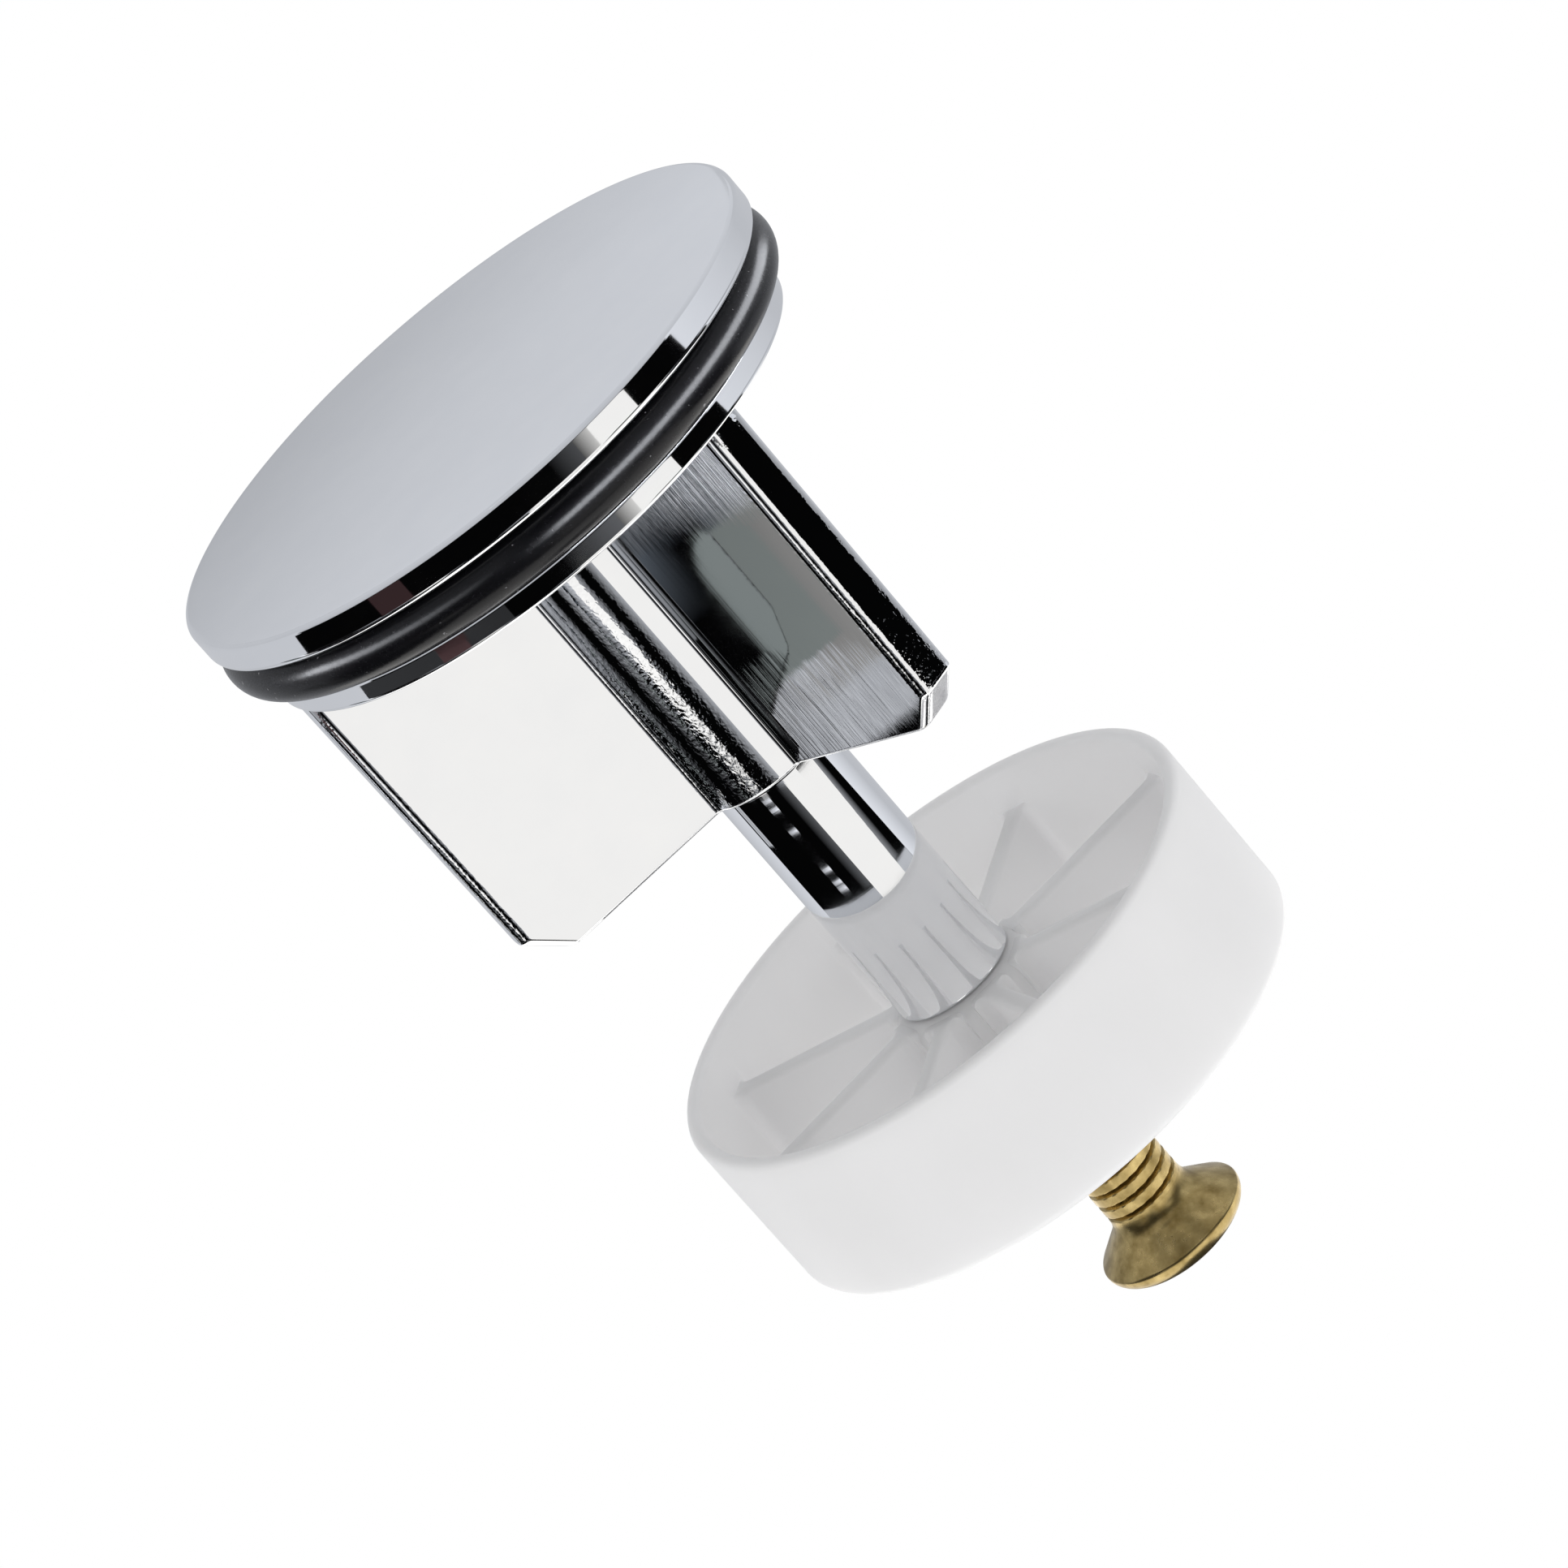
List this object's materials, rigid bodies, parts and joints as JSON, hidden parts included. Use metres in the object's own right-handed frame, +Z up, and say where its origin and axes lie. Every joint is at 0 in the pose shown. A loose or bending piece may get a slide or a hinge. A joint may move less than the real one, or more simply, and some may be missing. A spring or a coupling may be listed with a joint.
{
  "type": "pop-up basin plug",
  "caption": "Chromed pop-up plug of a basin waste, with a rubber seal ring, winged guide body, plain stem, milky plastic guide cup and brass height screw.",
  "frame": {"origin": "on the plug's axis, in the middle plane of the seal ring, where the plug seats in the waste", "axes": "+Z up along the plug's axis, from the height screw to the cap; one wing lies along -X"},
  "size_m": [0.04, 0.04, 0.0695],
  "materials": {
    "chrome_cap": "chrome plate, polished, with a soft grey sheen on the top face",
    "chrome": "chrome plate, polished, with faint drawing lines along the wings",
    "seal_rubber": "black nitrile rubber, smooth",
    "milky_plastic": "natural polypropylene, milky and faintly translucent",
    "brass": "bare brass, machined"
  },
  "bodies": {
    "plug": {"cap": "chrome_cap", "seal_ring": "seal_rubber", "joining_stud": "brass", "guide_body": "chrome", "stem": "chrome", "guide_cup": "milky_plastic"},
    "screw": {"height_screw": "brass"},
    "nut": {"lock_nut": "brass"}
  },
  "joints": [
    {"name": "screw_height", "type": "slide", "parent": "plug", "child": "screw", "axis": [0, 0, 1], "range_m": [-0.004, 0.004]},
    {"name": "nut_release", "type": "slide", "parent": "plug", "child": "nut", "axis": [0, 0, -1], "range_m": [0, 0.0024]}
  ]
}
